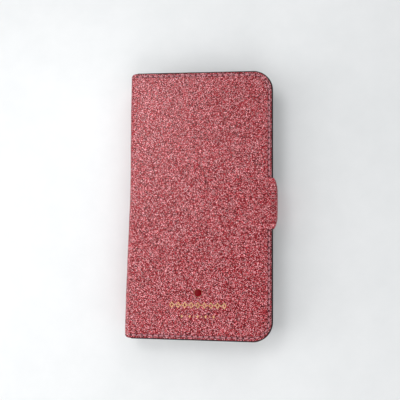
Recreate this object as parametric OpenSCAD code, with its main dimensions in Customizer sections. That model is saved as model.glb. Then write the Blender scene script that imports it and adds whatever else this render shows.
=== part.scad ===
// Folio phone case with a magnetic strap, closed and lying on its back.
// +X points to the opening edge, +Y to the top of the phone and +Z up through the front cover.
// The origin is under the middle of the closed case, level with the underside of the strap.
// Every panel is flat. The four folds are live hinges whose axes run along Y.

/* [Phone] */
// Width of the phone that the shell holds
phone_w = 71.4; // [70.4:0.2:72.4]
// Length of the phone
phone_l = 144; // [142:0.5:145]
// Thickness of the phone
phone_t = 8.1; // [7.5:0.1:8.7]

/* [Covers] */
// Width of the closed case from the spine to the opening edge
cover_w = 82; // [81.5:0.5:86]
// Length of the covers along the spine
cover_l = 151; // [150:0.5:156]
// Radius of the corners at the opening edge
open_corner_r = 11.3; // [8:0.1:13]
// Radius of the corners at the spine
spine_corner_r = 4; // [3:0.1:5]
// Outer radius of the rolled folds at the spine
fold_r = 3; // [2.4:0.1:3.4]

/* [Layers] */
// Thickness of the glitter-coated skin
skin_t = 0.9; // [0.7:0.05:1.1]
// Thickness of the boards inside the covers
board_t = 1; // [0.8:0.05:1.2]
// Thickness of the stiffener inside the spine
spine_board_t = 0.7; // [0.5:0.05:0.8]
// Thickness of the lining
lining_t = 0.5; // [0.4:0.05:0.6]
// Thickness of one pocket sheet
pocket_t = 0.35; // [0.3:0.05:0.4]
// Thickness of the adhesive sheet under the shell
adhesive_t = 0.2; // [0.1:0.05:0.3]
// Clearance between neighbouring closed layers
gap = 0.3; // [0.3:0.05:0.5]
// Clearance between the back cover and the strap's end under it
strap_gap = 0.5; // [0.5:0.05:0.8]

/* [Shell] */
// Thickness of the shell's side walls
wall_t = 1.6; // [1.2:0.1:1.8]
// Thickness of the shell's floor
floor_t = 1.2; // [1:0.1:1.6]
// Height of the retaining lip above the phone
lip_t = 0.9; // [0.7:0.1:1.2]
// How far the lip reaches in over the phone
lip_in = 0.9; // [0.6:0.1:1.1]
// Room around the phone inside the shell
phone_play = 0.3; // [0.2:0.05:0.4]

/* [Pockets] */
// Distance from one card pocket's mouth to the next
pocket_step = 8; // [6:0.5:9]
// Length of the card pockets along the spine
pocket_l = 93; // [90:1:100]

/* [Strap] */
// How far the strap stands out past the opening edge
strap_out = 2.7; // [2.6:0.1:3.2]
// Width of the strap
strap_w = 20; // [18:0.5:24]
// Width of the strap's root at the opening edge
strap_root_w = 27.4; // [26:0.2:30]
// Reach of the strap's end under the back cover, from the strap's outer face
strap_reach = 24; // [20:0.5:26]
// Thickness of the stiffener and magnets in the strap's end
strap_core_t = 0.8; // [0.7:0.05:1]
// Diameter of the magnets
magnet_d = 8; // [6:0.5:9]

/* [Seams] */
// Distance from the edge to the seam
seam_inset = 2; // [1.8:0.1:2.4]
// Distance from one stitch to the next
stitch_pitch = 3.1; // [2.6:0.1:3.6]
// Length of a stitch
stitch_l = 2.3; // [1.8:0.1:2.4]
// Width of a stitch
stitch_w = 0.55; // [0.4:0.05:0.7]
// Height of a stitch above the skin
stitch_h = 0.2; // [0.15:0.05:0.25]

/* [Hidden] */
$fn = 48;
eps = 0.01;

// Across the case
case_w = cover_w + strap_out + stitch_h;
left_x = -case_w / 2;
edge_x = left_x + cover_w;
strap_x = edge_x + strap_out;
cover_mid_x = left_x + cover_w / 2;

// A rolled skin straightens about a pivot this far inside both of its faces
fold_in = fold_r * (1 - PI / 4);
fold_play = 0.15;
panel_x = left_x + 2 * fold_in + fold_play;
layer_x = left_x + fold_in + 2;

// Up through the closed case
strap_t = skin_t + strap_core_t + lining_t;
back_z = strap_t + strap_gap;
back_board_z = back_z + skin_t;
back_lining_z = back_board_z + board_t;
adhesive_z = back_lining_z + lining_t;
shell_z = adhesive_z + adhesive_t;
cavity_z = shell_z + floor_t;
lip_z = cavity_z + phone_t + phone_play;
shell_top = lip_z + lip_t;
card_pockets = 3;
pocket_z = shell_top + gap;
front_lining_z = pocket_z + (card_pockets + 1) * pocket_t;
front_board_z = front_lining_z + lining_t;
front_skin_z = front_board_z + board_t;
top_z = front_skin_z + skin_t;

// Folds between the back cover, the spine and the front cover
back_fold = [left_x + fold_in, back_z + fold_in];
front_fold = [left_x + fold_in, top_z - fold_in];

// Strap folds, round the opening edge of the front cover and round that of the back cover
strap_fold_in = 1.1;
strap_top_fold = [strap_x - strap_fold_in, top_z - strap_fold_in];
strap_low_fold = [strap_x - strap_fold_in, strap_fold_in];
strap_play = strap_fold_in + fold_play;
strap_side_t = skin_t + lining_t;
strap_end_x = strap_x - strap_reach;
strap_corner_r = 5;
flare_h = 4;
flare_w = strap_root_w - 3.4;

// Spine, whose ends stop short of the covers' ends
spine_end_in = 0.8 * spine_corner_r;
spine_l = cover_l - 2 * spine_end_in;
spine_in = 1.2;
spine_board_x = left_x + skin_t;
spine_lining_x = spine_board_x + spine_board_t;

// Shell
cavity_w = phone_w + 2 * phone_play;
cavity_l = phone_l + 2 * phone_play;
cavity_r = 9.6;
shell_w = cavity_w + 2 * wall_t;
shell_l = cavity_l + 2 * wall_t;
shell_inset = 2.75;
shell_x = edge_x - shell_inset - shell_w / 2;
notch_z = cavity_z + 1;
camera_w = 19;
camera_l = 33;
camera_r = 8;
camera_inset = [13.8, 20.8];
camera_x = shell_x + cavity_w / 2 - camera_inset.x;
camera_y = cavity_l / 2 - camera_inset.y;
port_w = 44;
volume_y = [20, 56];
power_y = [29, 47];

// Pockets, whose mouths face the spine
pocket_inset = 3.4;
last_pocket_w = 50;
cash_overlap = 2.5;
pocket_right_x = edge_x - pocket_inset;
last_mouth_x = pocket_right_x - last_pocket_w;
cash_mouth_x = last_mouth_x - card_pockets * pocket_step + cash_overlap;

// Seams
seam_start = 2.4;
strap_seam_low = 1.5;
strap_seam_top = 5.5;

// Stud
stud_up = 25.8;
stud_pos = [cover_mid_x, stud_up - cover_l / 2];
stud_d = 4.4;
stud_rim_w = 0.45;
stud_floor_t = 0.15;
stud_h = 0.55;
enamel_h = 0.7;
enamel_d = stud_d - 2 * stud_rim_w - 0.02;

// Magnets and the plate that they hold to
magnet_pitch = 10;
magnet_inset = 8.2;
magnet_x = strap_end_x + magnet_inset;
plate_size = [13, 22, 0.5];
plate_play = 0.1;

// Colours
glitter = "#b4555f";
thread = "#c8737f";
dark_leather = "#2a2326";
moulding = "#1e1e20";
board = "#8c8378";

// A rectangle in XY between two corners, with round corners of one radius
module round_box_2d(low, high, r) {
    for (x = [low.x + r, high.x - r], y = [low.y + r, high.y - r])
        translate([x, y]) circle(r);
    translate([low.x + r, low.y]) square([high.x - low.x - 2 * r, high.y - low.y]);
    translate([low.x, low.y + r]) square([high.x - low.x, high.y - low.y - 2 * r]);
}

// The outline of a cover from start_x to the opening edge
module cover_2d(start_x) {
    half_l = cover_l / 2;
    intersection() {
        union() {
            translate([0, -half_l]) round_half_2d(edge_x, open_corner_r);
            mirror([1, 0]) translate([0, -half_l]) round_half_2d(-left_x, spine_corner_r);
        }
        translate([start_x, -half_l]) square([case_w, cover_l]);
    }
}

// The half of an outline on +X, width w, whose two outer corners have radius r
module round_half_2d(w, r) {
    square([w - r, cover_l]);
    translate([0, r]) square([w, cover_l - 2 * r]);
    for (y = [r, cover_l - r])
        translate([w - r, y]) circle(r);
}

// A layer of a cover: an outline from start_x, between z and z + t
module cover_layer(start_x, z, t) {
    translate([0, 0, z]) linear_extrude(t) cover_2d(start_x);
}

// One row of count stitches, along +X from the origin, on the plane z = 0
module stitch_row(length, count) {
    for (i = [0 : count - 1])
        translate([(i + 0.5) * length / count - stitch_l / 2, -stitch_w / 2, 0])
            cube([stitch_l, stitch_w, stitch_h]);
}

// Stitches round the free edges of a cover, with an opening where the strap's root leaves it
module cover_seam(opening) {
    corner_x = edge_x - open_corner_r;
    corner_y = cover_l / 2 - open_corner_r;
    seam_r = open_corner_r - seam_inset;
    seam_y = cover_l / 2 - seam_inset;
    start_x = panel_x + seam_start;
    row_l = corner_x - start_x;
    side_l = corner_y - opening / 2;
    arc_count = round(seam_r * PI / 2 / stitch_pitch);
    for (side = [0, 1]) mirror([0, side, 0]) {
        translate([start_x, seam_y, 0]) stitch_row(row_l, round(row_l / stitch_pitch));
        translate([edge_x - seam_inset, opening / 2, 0])
            rotate(90) stitch_row(side_l, round(side_l / stitch_pitch));
        for (i = [0 : arc_count - 1])
            translate([corner_x, corner_y, 0]) rotate(90 * (i + 0.5) / arc_count)
                translate([seam_r, -stitch_l / 2, 0])
                    cube([stitch_w, stitch_l, stitch_h]);
    }
}

module camera_window(z, h) {
    translate([0, 0, z]) linear_extrude(h)
        round_box_2d([camera_x - camera_w / 2, camera_y - camera_l / 2],
            [camera_x + camera_w / 2, camera_y + camera_l / 2], camera_r);
}

// Back cover, which carries the shell

module back_skin() {
    color(glitter) difference() {
        cover_layer(panel_x, back_z, skin_t);
        camera_window(back_z - 1, skin_t + 2);
    }
}

module back_board() {
    color(board) difference() {
        cover_layer(layer_x, back_board_z, board_t);
        camera_window(back_board_z - 1, board_t + 2);
        translate([magnet_x - plate_size.x / 2 - plate_play, -plate_size.y / 2 - plate_play,
            back_board_z - eps])
            cube([plate_size.x + 2 * plate_play, plate_size.y + 2 * plate_play,
                plate_size.z + plate_play + eps]);
    }
}

module back_lining() {
    color(dark_leather) difference() {
        cover_layer(layer_x, back_lining_z, lining_t);
        camera_window(back_lining_z - 1, lining_t + 2);
    }
}

module back_seam_thread() {
    color(thread) translate([0, 0, back_z - stitch_h]) cover_seam(0);
}

module catch_plate() {
    color("silver") translate([magnet_x - plate_size.x / 2, -plate_size.y / 2, back_board_z])
        cube(plate_size);
}

module shell_adhesive() {
    inset = 5;
    margin = 2;
    color("white") difference() {
        translate([0, 0, adhesive_z]) linear_extrude(adhesive_t)
            round_box_2d([shell_x - shell_w / 2 + inset, inset - shell_l / 2],
                [shell_x + shell_w / 2 - inset, shell_l / 2 - inset], cavity_r - inset / 2);
        translate([camera_x - camera_w / 2 - margin, camera_y - camera_l / 2 - margin,
            adhesive_z - 1])
            cube([shell_w, shell_l, adhesive_t + 2]);
    }
}

module shell_box(w, l, r, z, h) {
    translate([shell_x, 0, z]) linear_extrude(h)
        round_box_2d([-w / 2, -l / 2], [w / 2, l / 2], r);
}

module phone_shell() {
    wall_out = wall_t + 2;
    cut_d = wall_out + lip_in + 1;
    cut_h = shell_top - notch_z + 1;
    color(moulding) difference() {
        shell_box(shell_w, shell_l, cavity_r + wall_t, shell_z, shell_top - shell_z);
        shell_box(cavity_w, cavity_l, cavity_r, cavity_z, lip_z - cavity_z);
        shell_box(cavity_w - 2 * lip_in, cavity_l - 2 * lip_in, cavity_r - lip_in,
            lip_z - eps, lip_t + 1);
        camera_window(shell_z - 1, floor_t + 2);
        translate([shell_x - cavity_w / 2 - wall_out, volume_y[0], notch_z])
            cube([cut_d, volume_y[1] - volume_y[0], cut_h]);
        translate([shell_x + cavity_w / 2 - lip_in - 1, power_y[0], notch_z])
            cube([cut_d, power_y[1] - power_y[0], cut_h]);
        translate([shell_x - port_w / 2, -cavity_l / 2 - wall_out, notch_z])
            cube([port_w, cut_d, cut_h]);
    }
}

// Spine

// A round crease along a fold axis, given as [x, z]
module crease(axis, r, l) {
    translate([axis[0], l / 2, axis[1]]) rotate([90, 0, 0]) cylinder(r = r, h = l);
}

module spine_skin() {
    color(glitter) {
        translate([left_x, -spine_l / 2, back_fold[1]])
            cube([skin_t, spine_l, front_fold[1] - back_fold[1]]);
        crease(back_fold, fold_in, spine_l);
        crease(front_fold, fold_in, spine_l);
    }
}

// A flat layer inside the spine, clear of both folds
module spine_layer(x, t) {
    translate([x, -spine_l / 2, back_fold[1] + spine_in])
        cube([t, spine_l, front_fold[1] - back_fold[1] - 2 * spine_in]);
}

module spine_board() {
    color(board) spine_layer(spine_board_x, spine_board_t);
}

module spine_lining() {
    color(dark_leather) spine_layer(spine_lining_x, lining_t);
}

// Front cover

module front_skin() {
    tongue_x = strap_top_fold[0] - strap_play;
    color(glitter) {
        cover_layer(panel_x, front_skin_z, skin_t);
        translate([edge_x - 1, -strap_root_w / 2, front_skin_z])
            cube([tongue_x - edge_x + 1, strap_root_w, skin_t]);
    }
}

module front_board() {
    color(board) cover_layer(layer_x, front_board_z, board_t);
}

module front_lining() {
    color(dark_leather) cover_layer(layer_x, front_lining_z, lining_t);
}

module front_seam_thread() {
    color(thread) translate([0, 0, top_z]) cover_seam(strap_root_w);
}

module cash_pocket() {
    color(dark_leather) cover_layer(cash_mouth_x, front_lining_z - pocket_t, pocket_t);
}

// Card pocket number i, counted from the lining; the last one lies lowest in the closed case
module card_pocket(i) {
    mouth_x = last_mouth_x - (card_pockets - i) * pocket_step;
    color(dark_leather) translate([0, 0, front_lining_z - (i + 1) * pocket_t])
        linear_extrude(pocket_t)
            round_box_2d([mouth_x, -pocket_l / 2], [pocket_right_x, pocket_l / 2], 1.5);
}

module card_pocket_1() {
    card_pocket(1);
}

module card_pocket_2() {
    card_pocket(2);
}

module card_pocket_3() {
    card_pocket(3);
}

// Stitches along the two ends and the closed side of the card pockets
module pocket_thread() {
    thread_z = front_lining_z - (card_pockets + 1) * pocket_t;
    inset = 1.6;
    start_x = last_mouth_x + 1;
    row_l = pocket_right_x - inset - start_x;
    side_l = pocket_l - 2 * inset;
    color("#3a3033") mirror([0, 0, 1]) translate([0, 0, -thread_z]) {
        for (side = [-1, 1])
            translate([start_x, side * (pocket_l / 2 - inset), 0])
                stitch_row(row_l, round(row_l / stitch_pitch));
        translate([pocket_right_x - inset, -side_l / 2, 0])
            rotate(90) stitch_row(side_l, round(side_l / stitch_pitch));
    }
}

module stud_rim() {
    color("gold") translate([stud_pos.x, stud_pos.y, top_z]) difference() {
        cylinder(d = stud_d, h = stud_h);
        translate([0, 0, stud_floor_t]) cylinder(d = stud_d - 2 * stud_rim_w, h = stud_h);
    }
}

module stud_enamel() {
    color("#7a1020") translate([stud_pos.x, stud_pos.y, top_z + stud_floor_t])
        cylinder(d = enamel_d, h = enamel_h - stud_floor_t);
}

// Strap, side run: from the front cover's edge down past the back cover's edge

// A flat layer of the side run, seen along X, that narrows from the root's width
module strap_side_layer(x, t, top, low) {
    translate([x, 0, 0]) rotate([90, 0, 90]) linear_extrude(t)
        polygon([[-flare_w / 2, top], [-strap_w / 2, strap_top_fold[1] - flare_h],
            [-strap_w / 2, low], [strap_w / 2, low],
            [strap_w / 2, strap_top_fold[1] - flare_h], [flare_w / 2, top]]);
}

module strap_side_skin() {
    color(glitter) {
        strap_side_layer(strap_x - skin_t, skin_t, strap_top_fold[1], strap_low_fold[1]);
        crease(strap_top_fold, strap_fold_in, flare_w);
        crease(strap_low_fold, strap_fold_in, strap_w);
    }
}

module strap_side_lining() {
    color(dark_leather)
        strap_side_layer(strap_x - strap_side_t, lining_t, strap_top_fold[1] - strap_play,
            strap_low_fold[1] + strap_play);
}

module strap_side_thread() {
    row_l = strap_top_fold[1] - strap_seam_top - strap_low_fold[1] - strap_seam_low;
    color(thread) for (side = [-1, 1])
        translate([strap_x, side * (strap_w / 2 - seam_inset), strap_low_fold[1] + strap_seam_low])
            rotate([0, -90, 0]) mirror([0, 0, 1])
                stitch_row(row_l, round(row_l / stitch_pitch));
}

// Strap, end: flat under the back cover

// The outline of the strap's end from its free end to right_x, round at the free end
module strap_end_2d(right_x, inset = 0) {
    r = strap_corner_r - inset;
    half_w = strap_w / 2 - inset;
    low_x = strap_end_x + inset;
    for (y = [-half_w + r, half_w - r])
        translate([low_x + r, y]) circle(r);
    translate([low_x + r, -half_w]) square([right_x - low_x - r, 2 * half_w]);
    translate([low_x, r - half_w]) square([right_x - low_x, 2 * (half_w - r)]);
}

module strap_end_layer(z, t, inset = 0) {
    translate([0, 0, z]) linear_extrude(t)
        strap_end_2d(strap_low_fold[0] - strap_play - inset, inset);
}

module at_magnets() {
    for (y = [-magnet_pitch / 2, magnet_pitch / 2])
        translate([magnet_x, y, skin_t]) children();
}

module strap_end_skin() {
    color(glitter) strap_end_layer(0, skin_t);
}

module strap_end_core() {
    color(board) difference() {
        strap_end_layer(skin_t, strap_core_t, 0.4);
        at_magnets() translate([0, 0, -1]) cylinder(d = magnet_d + 0.2, h = strap_core_t + 2);
    }
}

module strap_magnets() {
    color("silver") at_magnets() cylinder(d = magnet_d, h = strap_core_t);
}

module strap_end_lining() {
    color(dark_leather) strap_end_layer(skin_t + strap_core_t, lining_t);
}

module strap_end_thread() {
    r = strap_corner_r - seam_inset;
    row_l = strap_reach - strap_play - strap_fold_in - strap_corner_r - 0.5;
    end_l = strap_w - 2 * strap_corner_r;
    color(thread) translate([0, 0, strap_t]) {
        for (side = [0, 1]) mirror([0, side, 0]) {
            translate([strap_end_x + strap_corner_r, strap_w / 2 - seam_inset, 0])
                stitch_row(row_l, round(row_l / stitch_pitch));
            translate([strap_end_x + strap_corner_r, strap_w / 2 - strap_corner_r, 0])
                rotate(135) translate([r, -stitch_l / 2, 0])
                    cube([stitch_w, stitch_l, stitch_h]);
        }
        translate([strap_end_x + seam_inset, -end_l / 2, 0])
            rotate(90) stitch_row(end_l, round(end_l / stitch_pitch));
    }
}

back_skin();
back_board();
back_lining();
back_seam_thread();
catch_plate();
shell_adhesive();
phone_shell();
spine_skin();
spine_board();
spine_lining();
front_skin();
front_board();
front_lining();
front_seam_thread();
cash_pocket();
card_pocket_1();
card_pocket_2();
card_pocket_3();
pocket_thread();
stud_rim();
stud_enamel();
strap_side_skin();
strap_side_lining();
strap_side_thread();
strap_end_skin();
strap_end_core();
strap_magnets();
strap_end_lining();
strap_end_thread();
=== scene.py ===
"""Looks of a glitter folio phone case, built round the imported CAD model.

Lengths in this script are millimetres until a mesh is made. Most pieces are sheets that follow
one of two profiles: WRAP goes from the front cover's opening edge over the spine to the back
cover's opening edge, and STRAP goes from the front cover's edge down and under the back cover.
A point of a sheet is (s, y, k): s along the profile, y along the spine, k inwards from the skin.
"""

import math

import bpy
import numpy as np
from mathutils import Matrix, Vector


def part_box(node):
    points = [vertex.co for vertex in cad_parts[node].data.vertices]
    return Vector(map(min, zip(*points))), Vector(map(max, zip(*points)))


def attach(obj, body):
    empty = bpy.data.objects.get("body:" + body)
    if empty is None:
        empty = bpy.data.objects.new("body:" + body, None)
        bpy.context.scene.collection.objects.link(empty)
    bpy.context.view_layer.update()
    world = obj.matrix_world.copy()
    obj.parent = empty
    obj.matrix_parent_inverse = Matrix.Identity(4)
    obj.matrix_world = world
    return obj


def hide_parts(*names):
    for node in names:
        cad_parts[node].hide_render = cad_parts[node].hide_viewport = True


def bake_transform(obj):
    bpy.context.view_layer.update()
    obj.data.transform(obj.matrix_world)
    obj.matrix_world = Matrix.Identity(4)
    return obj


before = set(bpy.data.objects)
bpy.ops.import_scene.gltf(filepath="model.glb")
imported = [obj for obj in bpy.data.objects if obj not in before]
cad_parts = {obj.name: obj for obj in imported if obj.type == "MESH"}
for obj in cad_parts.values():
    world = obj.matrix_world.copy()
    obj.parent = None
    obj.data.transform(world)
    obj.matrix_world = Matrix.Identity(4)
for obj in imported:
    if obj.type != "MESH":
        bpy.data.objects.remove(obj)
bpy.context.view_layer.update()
scene = bpy.context.scene
MM = 0.001


# ---- sizes from the CAD frame ----

def box(node):
    """Lowest and highest corner of a CAD node, in mm."""
    low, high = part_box(node)
    return np.array(low) / MM, np.array(high) / MM


TOP_Z = box("front_skin")[1][2]
BACK_Z = box("back_skin")[0][2]
LEFT_X = box("spine_skin")[0][0]
EDGE_X = box("front_lining")[1][0]
STRAP_X = box("strap_side_skin")[1][0]
STRAP_END_X = box("strap_end_skin")[0][0]
HALF_L = box("front_skin")[1][1]
SPINE_HALF_L = box("spine_skin")[1][1]
SKIN_T = TOP_Z - box("front_skin")[0][2]
FRONT_T = TOP_Z - box("front_lining")[0][2]
LINING_T = box("front_lining")[1][2] - box("front_lining")[0][2]
SPINE_T = box("spine_lining")[1][0] - LEFT_X
STRAP_T = box("strap_end_lining")[1][2]
STRAP_SIDE_T = STRAP_X - box("strap_side_lining")[0][0]
STRAP_HALF_W = box("strap_end_skin")[1][1]

# Outer radius of the rolled folds beside the spine
ROLL_R = 3.0
# Corner radii of the covers' opening edges and of the strap's free end
OPEN_R = 11.3
TIP_R = 5.0
# Half the strap's width where it leaves the cover, and the run in which it narrows
ROOT_HALF_W = 14.2
ROOT_RUN = 4.0
TOP_BEND_R = STRAP_X - EDGE_X
LOW_BEND_R = STRAP_T
# The seams' distance from the edges, and that between their holes
SEAM_INSET = 2.2
PITCH = 3.1
# How far the sheets stop short of the painted edges
EDGE_INSET = 0.35
# The camera window: middle x and y, width, length, corner radius
WINDOW = (21.4, 51.5, 19.0, 33.0, 8.0)


# ---- profiles ----

class Profile:
    """A path in the XZ plane of lines ("line", length) and arcs ("arc", radius, degrees), with a
    positive arc turning left. side is +1 where the outer face is on the path's right."""

    def __init__(self, start, heading, side, parts):
        self.side, self.legs, self.s = side, [], [0.0]
        p, a = np.array(start, float), math.radians(heading)
        for kind, size, *turn in parts:
            bend = 0.0
            if kind == "arc":
                bend = math.copysign(1 / size, turn[0])
                size = size * math.radians(abs(turn[0]))
            self.legs.append((p, a, bend))
            p = p + path_move(a, size, bend)
            a += size * bend
            self.s.append(self.s[-1] + size)
        self.length = self.s[-1]

    def at(self, s):
        """Points and outward normals at s, as two arrays of (x, z)."""
        s = np.atleast_1d(np.asarray(s, float))
        points, normals = np.zeros(s.shape + (2,)), np.zeros(s.shape + (2,))
        leg_of = np.clip(np.searchsorted(self.s, s, side="right") - 1, 0, len(self.legs) - 1)
        for i, (p, a, bend) in enumerate(self.legs):
            here = leg_of == i
            t = s[here] - self.s[i]
            b = a + t * bend
            points[here] = p + path_move(a, t, bend)
            normals[here] = self.side * np.stack([np.sin(b), -np.cos(b)], -1)
        return points, normals


def path_move(a, t, bend):
    """The way from a leg's start to t mm along it; it heads at a and turns bend radians a mm."""
    if not bend:
        return np.multiply.outer(t, [math.cos(a), math.sin(a)])
    b = a + t * bend
    return np.stack([np.sin(b) - math.sin(a), math.cos(a) - np.cos(b)], -1) / bend


FLAT = EDGE_X - LEFT_X - ROLL_R
SPINE_RUN = TOP_Z - BACK_Z - 2 * ROLL_R
WRAP = Profile((EDGE_X, TOP_Z), 180, 1, [
    ("line", FLAT), ("arc", ROLL_R, 90), ("line", SPINE_RUN), ("arc", ROLL_R, 90),
    ("line", FLAT)])
MID_SPINE = WRAP.length / 2
ROLL_S0, ROLL_S1 = WRAP.s[1], WRAP.s[2]

SIDE_RUN = TOP_Z - TOP_BEND_R - LOW_BEND_R
STRAP = Profile((EDGE_X, TOP_Z), 0, -1, [
    ("arc", TOP_BEND_R, -90), ("line", SIDE_RUN), ("arc", LOW_BEND_R, -90),
    ("line", STRAP_X - LOW_BEND_R - STRAP_END_X)])
MID_SIDE = STRAP.s[1] + SIDE_RUN / 2


def smooth(x, a, b):
    """0 at a, 1 at b, smooth between and level outside; a may be above b."""
    t = np.clip((np.asarray(x, float) - a) / (b - a), 0, 1)
    return t * t * (3 - 2 * t)


def from_end(s):
    """Distance along WRAP from the nearer opening edge."""
    return np.minimum(s, WRAP.length - s)


def corner_loss(e, r):
    """How much a round corner of radius r takes off a sheet's side, e from the sheet's end."""
    return r - np.sqrt(r * r - np.clip(r - e, 0, r) ** 2)


def edge_distance(e, y, r, half_w, half_here):
    """Distance from a sheet's free edges: e is that from its end, r its corners' radius, half_w
    half its full width and half_here half its width at each point."""
    qx, qy = r - e, np.abs(y) - (half_w - r)
    corner = r - np.hypot(np.maximum(qx, 0), np.maximum(qy, 0))
    return np.where((qx > 0) & (qy > 0), corner, np.minimum(e, half_here - np.abs(y)))


def cover_half_l(s):
    """Half the length of the wrap at s: round corners at the opening edges, less at the spine."""
    e = from_end(s)
    t = np.clip((e - ROLL_S0 + 1.0) / (ROLL_S1 - ROLL_S0 + 1.0), 0, 1)
    return HALF_L - corner_loss(e, OPEN_R) - (HALF_L - SPINE_HALF_L) * (1 - np.sqrt(1 - t * t))


def cover_edge(s, y):
    """Distance from a cover's free edges, on the flat sheet."""
    return edge_distance(from_end(s), y, OPEN_R, HALF_L, cover_half_l(s))


def wrap(s, y, k):
    """Points of the wrap, in mm. The spine sags inwards a little above its middle."""
    deepest, at_y, reach = 0.85, 6, 60
    p, n = WRAP.at(s)
    sag = deepest * np.cos(np.clip((y - at_y) / reach, -1, 1) * math.pi / 2) ** 2
    x = p[..., 0] - n[..., 0] * k + sag * smooth(from_end(s), ROLL_S0 - 5, ROLL_S1)
    return np.stack([x, y, p[..., 1] - n[..., 1] * k], -1)


def strap_half_w(s):
    """Half the strap's width: shoulders at its root, a round free end."""
    root = ROOT_HALF_W - STRAP_HALF_W
    w = STRAP_HALF_W + root * (0.5 + 0.5 * np.cos(np.clip(s / ROOT_RUN, 0, 1) * math.pi))
    return w - corner_loss(STRAP.length - s, TIP_R)


def strap(s, y, k):
    """Points of the strap, in mm. Its side run is cupped: the sewn edges are drawn inwards."""
    cup = 0.3
    p, n = STRAP.at(s)
    on_side = smooth(s, 1.0, 3.0) * smooth(s, STRAP.s[2], STRAP.s[2] - 5)
    k = k + cup * on_side * np.minimum(np.abs(y) / STRAP_HALF_W, 1) ** 3
    return np.stack([p[..., 0] - n[..., 0] * k, y, p[..., 1] - n[..., 1] * k], -1)


# ---- meshes ----

def in_scene(name, data):
    obj = bpy.data.objects.new(name, data)
    scene.collection.objects.link(obj)
    return obj


def new_object(name, points, faces, materials, sheet=None, crease=35):
    """A mesh object from arrays of points in mm, smooth up to an angle of crease degrees. sheet
    holds the same points' places on the uncut material."""
    points = np.concatenate(points)
    sheet = points if sheet is None else np.concatenate(sheet)
    mesh = bpy.data.meshes.new(name)
    for material in materials:
        mesh.materials.append(material)
    mesh.from_pydata((points * MM).tolist(), [], faces)
    mesh.update()
    mesh.polygons.foreach_set("use_smooth", [True] * len(mesh.polygons))
    mesh.set_sharp_from_angle(angle=math.radians(crease))
    attribute = mesh.attributes.new("sheet", "FLOAT_VECTOR", "POINT")
    attribute.data.foreach_set("vector", (sheet.astype(np.float32) * MM).ravel())
    return in_scene(name, mesh)


def circle(count):
    """Even angles round a full turn."""
    return np.arange(count) * 2 * math.pi / count


def ring_faces(rings, count, at=0, flip=False, closed=False):
    """Quads between stacked rings of count points; closed joins the last ring to the first."""
    ring = np.arange(rings if closed else rings - 1)[:, None]
    q = np.arange(count)[None, :]
    here, above = ring * count, (ring + 1) % rings * count
    after = (q + 1) % count
    quads = np.stack([here + q, here + after, above + after, above + q], -1).reshape(-1, 4) + at
    return (quads[:, ::-1] if flip else quads).tolist()


def cap(first, count, flip=False):
    """One face over a ring of count points."""
    return list(range(first, first + count))[::-1 if flip else 1]


def grid_faces(rows, cols, at=0, flip=False):
    i = np.arange(rows - 1)[:, None] * cols + np.arange(cols - 1)[None, :] + at
    quads = np.stack([i, i + cols, i + cols + 1, i + 1], -1).reshape(-1, 4)
    return (quads[:, ::-1] if flip else quads).tolist()


def sheet_piece(name, place, s, half_w, rows, k_out, k_in, materials, bump=None, rim=0.1,
                inset=0.0, flip=False, dark_edges_and_shade=None):
    """A closed sheet of leather. s are the columns, rows the places across from -1 to 1 with
    their offsets from the edge, k_out and k_in the depths of its faces, bump(s, y) how far the
    outer face stands proud, rim how far its edge bulges. materials are (outer, inner, rim)."""
    share, offset = rows
    hw = half_w(s) - inset
    even_hw = np.maximum(hw - FINE_RUN, 0.4 * hw)[:, None]
    fixed = np.sign(share) * (hw[:, None] - offset)
    y = np.where(np.isnan(offset), share * even_hw, fixed)
    s_all = np.broadcast_to(s[:, None], y.shape)
    depth_out = k_out(s_all) if callable(k_out) else np.full(y.shape, k_out)
    depth_in = k_in(s_all) if callable(k_in) else np.full(y.shape, k_in)
    if bump is not None:
        depth_out = depth_out - bump(s_all, y)
    nc, nr = y.shape
    n = nc * nr
    grid = np.arange(n).reshape(nc, nr)
    loop = np.r_[grid[0], grid[1:, -1], grid[-1, -2::-1], grid[-2:0:-1, 0]]
    points = [place(s_all, y, depth).reshape(-1, 3) for depth in (depth_out, depth_in)]
    sheets = [np.stack([s_all, y, np.full(y.shape, layer)], -1).reshape(-1, 3)
              for layer in (0.0, 3.0)]
    edge = sheets[0][loop, :2]
    tangent = np.roll(edge, -1, axis=0) - np.roll(edge, 1, axis=0)
    tangent /= np.maximum(np.linalg.norm(tangent, axis=1, keepdims=True), 1e-9)
    outward = np.stack([tangent[:, 1], -tangent[:, 0]], -1)
    outward *= np.sign(((edge - [s.mean(), 0.0]) * outward).sum(1).mean())
    steps = 3 if rim else 0
    for m in range(1, steps + 1):
        f = m / (steps + 1)
        rim_s, rim_y = (edge + outward * rim * math.sin(f * math.pi)).T
        k = depth_out.ravel()[loop] * (1 - f) + depth_in.ravel()[loop] * f
        points.append(place(rim_s, rim_y, k))
        sheets.append(np.stack([rim_s, rim_y, k], -1))
    faces = grid_faces(nc, nr, 0, flip) + grid_faces(nc, nr, n, not flip)
    index = [0] * (len(faces) // 2) + [1] * (len(faces) // 2)
    between = [2 * n + m * len(loop) + np.arange(len(loop)) for m in range(steps)]
    rings = [loop, *between, n + loop]
    for a, b in zip(rings[:-1], rings[1:]):
        a2, b2 = np.roll(a, -1), np.roll(b, -1)
        quad = np.stack([a, a2, b2, b] if not flip else [a, b, b2, a2], -1)
        faces += quad.tolist()
        index += [2] * len(loop)
    obj = new_object(name, points, faces, materials, sheets)
    obj.data.polygons.foreach_set("material_index", index)
    # the darker edges and painted shade that the glitter mixes in
    if dark_edges_and_shade is not None:
        values = np.zeros(len(obj.data.vertices), np.float32)
        values[:n] = dark_edges_and_shade(s_all, y).ravel()
        attribute = obj.data.attributes.new("dark_edges_and_shade", "FLOAT", "POINT")
        attribute.data.foreach_set("value", values)
    return obj


def rows_across(edge, middle_count):
    """Rows for sheet_piece: fixed offsets from both edges and middle_count even rows between."""
    ends = np.ones(len(edge))
    share = np.r_[-ends, np.linspace(-1, 1, middle_count), ends]
    return share, np.r_[edge, np.full(middle_count, np.nan), edge[::-1]]


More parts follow.
